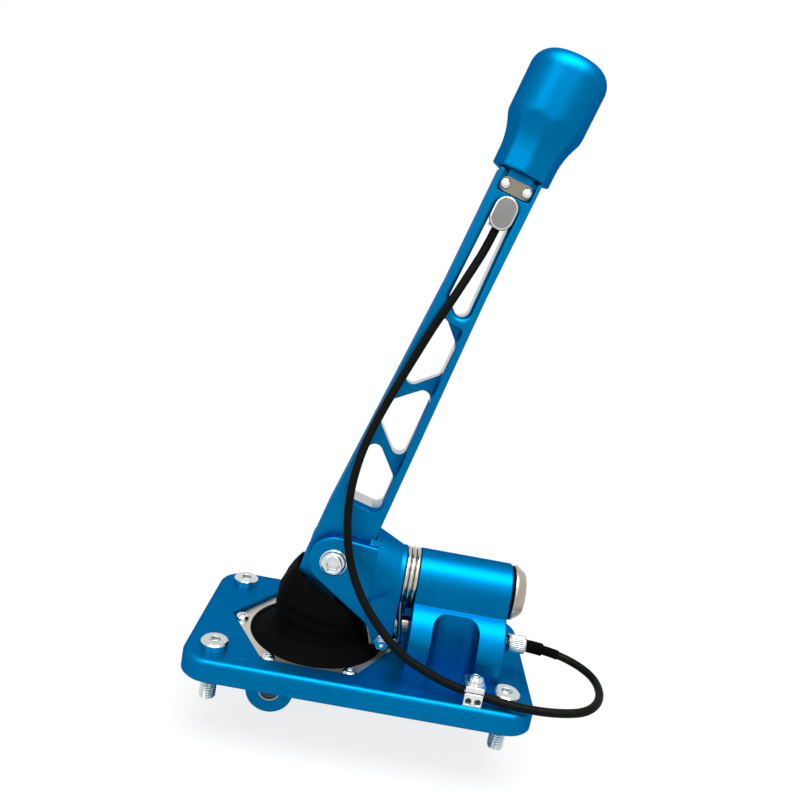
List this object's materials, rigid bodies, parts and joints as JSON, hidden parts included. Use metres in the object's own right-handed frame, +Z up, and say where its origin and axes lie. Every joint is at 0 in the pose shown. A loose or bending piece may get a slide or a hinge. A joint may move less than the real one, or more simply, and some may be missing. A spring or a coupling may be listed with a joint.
{
  "type": "short shifter",
  "caption": "Lever on a crossed pair of pivots over a flat plate, with a lift-up knob, a rubber boot and a cable to a lockout pin.",
  "frame": {"origin": "middle of the lower faces of the four collars on the mounting screws, 1.6 mm below the plate's underside", "axes": "+X along the plate and the main shaft, from the boot towards the barrel's capped end; +Y towards the back of the plate, away from the cable; +Z up, square to the plate"},
  "size_m": [0.202, 0.098, 0.3416],
  "materials": {
    "blue_anodised": "satin blue anodised",
    "bright_screw": "polished",
    "bright_alloy": "polished",
    "turned_steel": "turned",
    "grey_plate": "brushed",
    "spring_steel": "bright drawn wire",
    "bronze": "bearing bronze",
    "black_rubber": "matt",
    "black_cable": "satin extruded",
    "bearing_plastic": "matt"
  },
  "bodies": {
    "base": {"base_plate": "blue_anodised", "mount_screws": "bright_screw", "screw_retainers": "bearing_plastic", "boot_ring": "grey_plate", "ring_screws": "bright_screw", "boot": "black_rubber", "barrel_housing": "blue_anodised", "housing_screws": "turned_steel", "front_bush": "bronze", "rear_bush": "bronze", "barrel_seal": "black_rubber", "centring_spring": "spring_steel", "adjuster_neck": "turned_steel", "adjuster_thimble": "bright_alloy", "cable_loop": "black_cable", "cable_rise": "black_cable", "cable_sleeve": "black_rubber", "cable_clamp": "bright_alloy", "clamp_grubs": "bearing_plastic", "clamp_washer": "bright_alloy", "clamp_screw": "bright_screw", "lockout_spring": "spring_steel"},
    "head": {"main_shaft": "turned_steel", "end_cap": "turned_steel", "spring_spool": "bearing_plastic", "pivot_head": "blue_anodised", "stop_screws": "turned_steel", "stop_nuts": "bright_screw", "boot_retainer": "grey_plate", "pivot_pin": "bright_screw", "pivot_nut": "turned_steel"},
    "lever": {"lever_arm": "blue_anodised", "lever_bush": "bronze", "eye_sleeve": "turned_steel", "eye_bush": "bronze", "cable_stop": "bright_alloy", "post_retainer": "turned_steel", "cable_upper": "black_cable"},
    "knob": {"knob": "blue_anodised", "knob_bush": "blue_anodised", "anchor_plate": "grey_plate", "anchor_screws": "bright_screw", "inner_wire": "spring_steel", "knob_spring": "spring_steel"},
    "lockout": {"lockout_pin": "turned_steel"}
  },
  "joints": [
    {"name": "head_swing", "type": "hinge", "parent": "base", "child": "head", "pos_m": [0, 0, 0.0506], "axis": [1, 0, 0], "range_deg": [-7, 7], "stiffness_Nm_per_rad": 8, "deforming": ["centring_spring", "boot", "cable_rise"]},
    {"name": "lever_throw", "type": "hinge", "parent": "head", "child": "lever", "pos_m": [-0.0221, 0, 0.0566], "axis": [0, 1, 0], "range_deg": [-26, 0], "deforming": ["cable_upper"]},
    {"name": "knob_lift", "type": "slide", "parent": "lever", "child": "knob", "axis": [0.2605, 0, 0.9655], "range_m": [0, 0.008], "stiffness_N_per_m": 600, "deforming": ["knob_spring"]},
    {"name": "lockout_slide", "type": "slide", "parent": "base", "child": "lockout", "axis": [1, 0, 0], "range_m": [0, 0.008], "deforming": ["lockout_spring"]}
  ],
  "couplings": [
    {"joint": "lockout_slide", "follows": "knob_lift", "ratio": 1}
  ]
}
